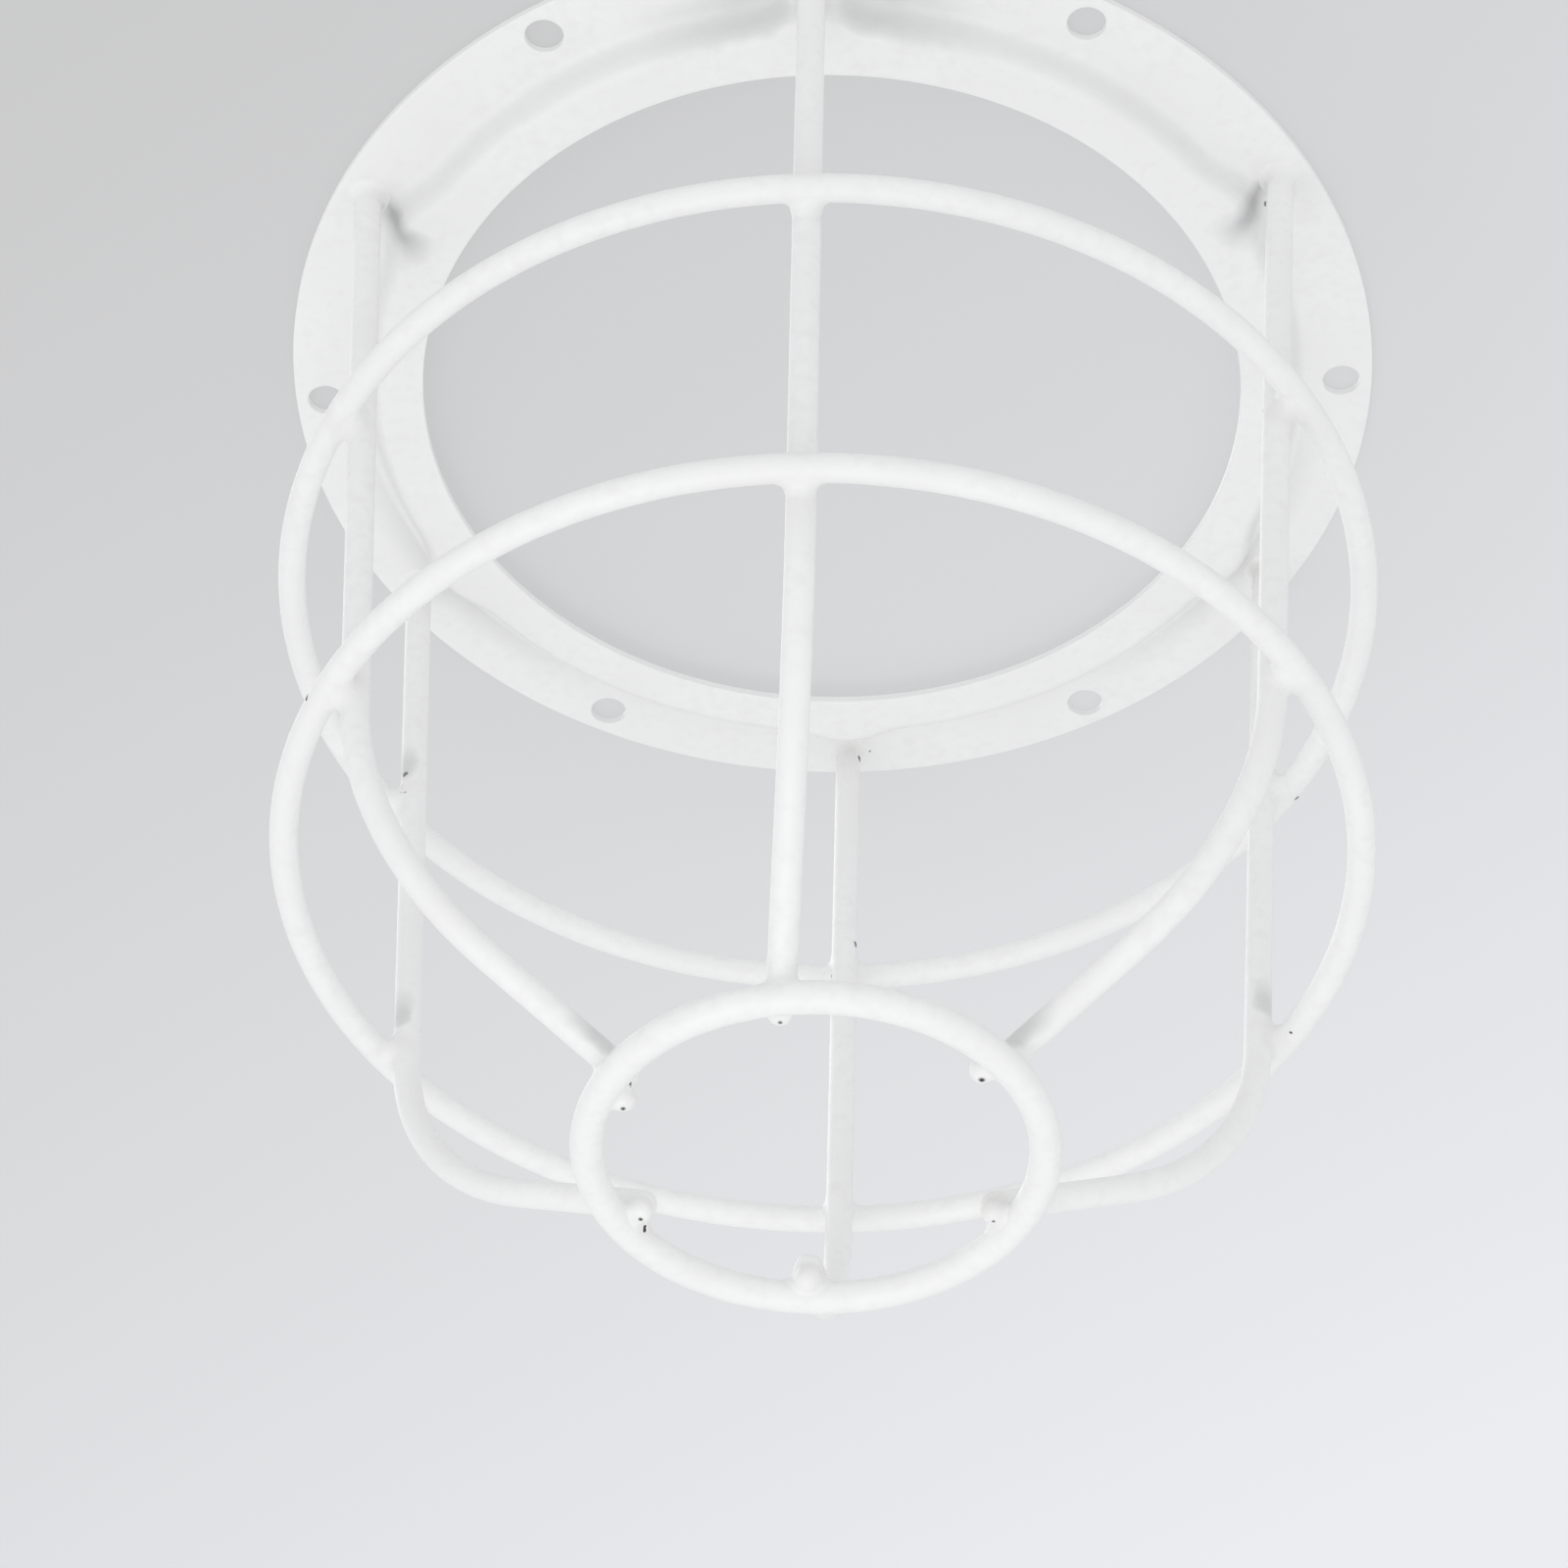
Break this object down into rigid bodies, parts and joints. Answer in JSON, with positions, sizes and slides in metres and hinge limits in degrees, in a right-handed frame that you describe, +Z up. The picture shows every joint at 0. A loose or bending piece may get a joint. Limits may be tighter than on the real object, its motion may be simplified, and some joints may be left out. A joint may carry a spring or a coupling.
{
  "type": "bulb cage guard",
  "caption": "Open wire guard for a ceiling bulb: a pressed ring flange with bolt holes carries ribs that lean in and bend under to a small end ring, with hoops welded round them.",
  "frame": {"origin": "centre of the mounting face, the flange rim's upper face that lies against the ceiling", "axes": "+Z up along the cage's axis into the ceiling, the cage hangs towards -Z; rib_1 stands at -Y"},
  "size_m": [0.205, 0.205, 0.1952],
  "materials": {
    "white_paint": "thick semi-matt white paint, brushed or sprayed over welded steel"
  },
  "bodies": {
    "root": {"mounting_flange": "white_paint", "rib_1": "white_paint", "rib_2": "white_paint", "rib_3": "white_paint", "rib_4": "white_paint", "rib_5": "white_paint", "rib_6": "white_paint", "upper_hoop": "white_paint", "lower_hoop": "white_paint", "end_ring": "white_paint"}
  },
  "joints": []
}
